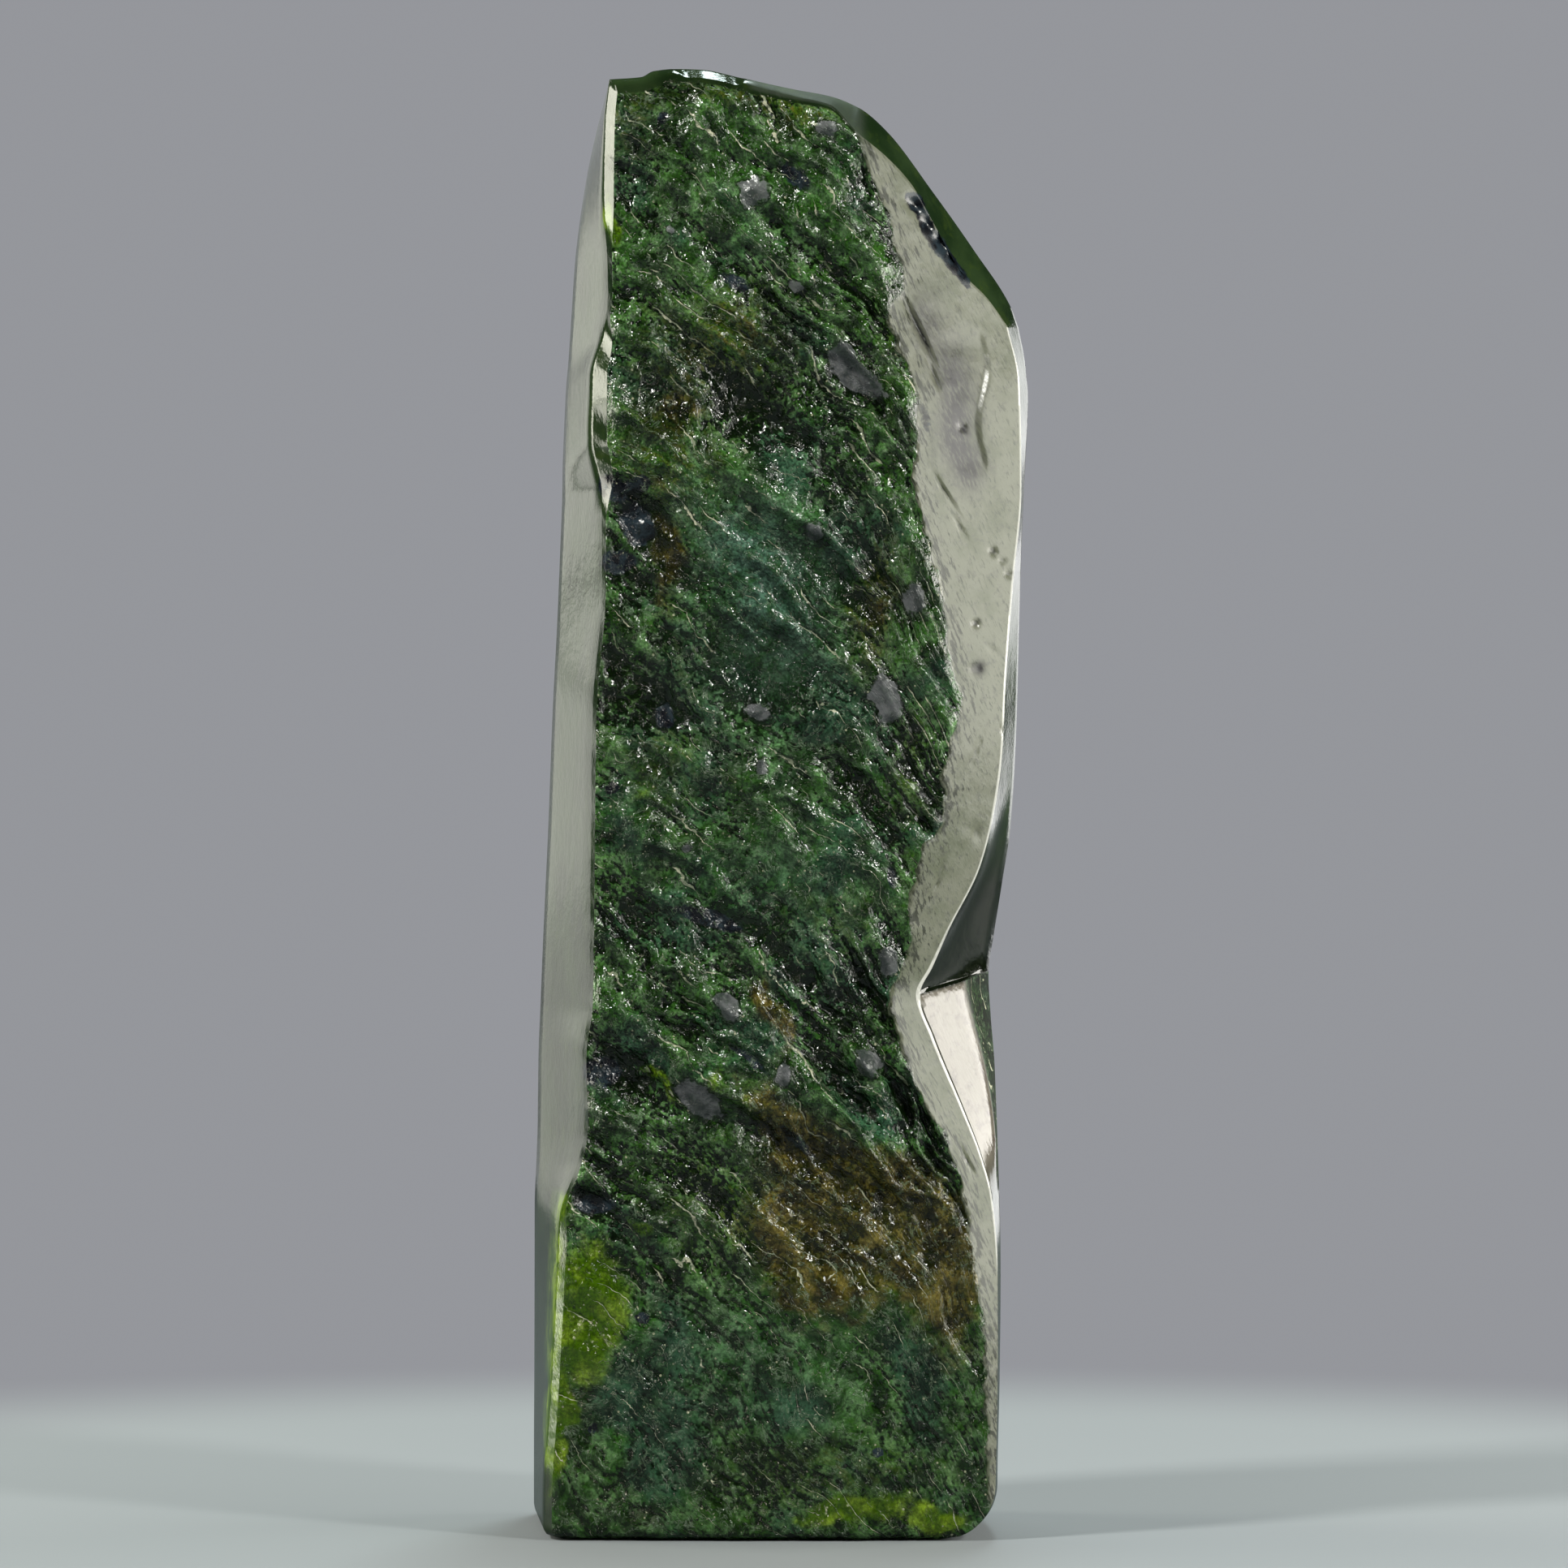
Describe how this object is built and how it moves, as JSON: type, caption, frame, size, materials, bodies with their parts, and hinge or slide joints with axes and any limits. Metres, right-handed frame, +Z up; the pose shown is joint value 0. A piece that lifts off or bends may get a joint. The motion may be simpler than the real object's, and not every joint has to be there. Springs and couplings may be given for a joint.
{
  "type": "polished jade freeform",
  "caption": "Upright freeform stone of green nephrite jade: natural wrinkled rind in front, polished flanks, scooped right edge and a sawn flat foot.",
  "frame": {"origin": "centre of the bounding box's foot, on the sawn flat face that the stone stands on", "axes": "+Z up along the stone's height, +X to the right of the front, the rind front faces -Y"},
  "size_m": [0.086, 0.0554, 0.25],
  "materials": {
    "nephrite": "polished dark green nephrite with olive, ochre, lime and slate zones"
  },
  "bodies": {
    "root": {"jade_stone": "nephrite"}
  },
  "joints": []
}
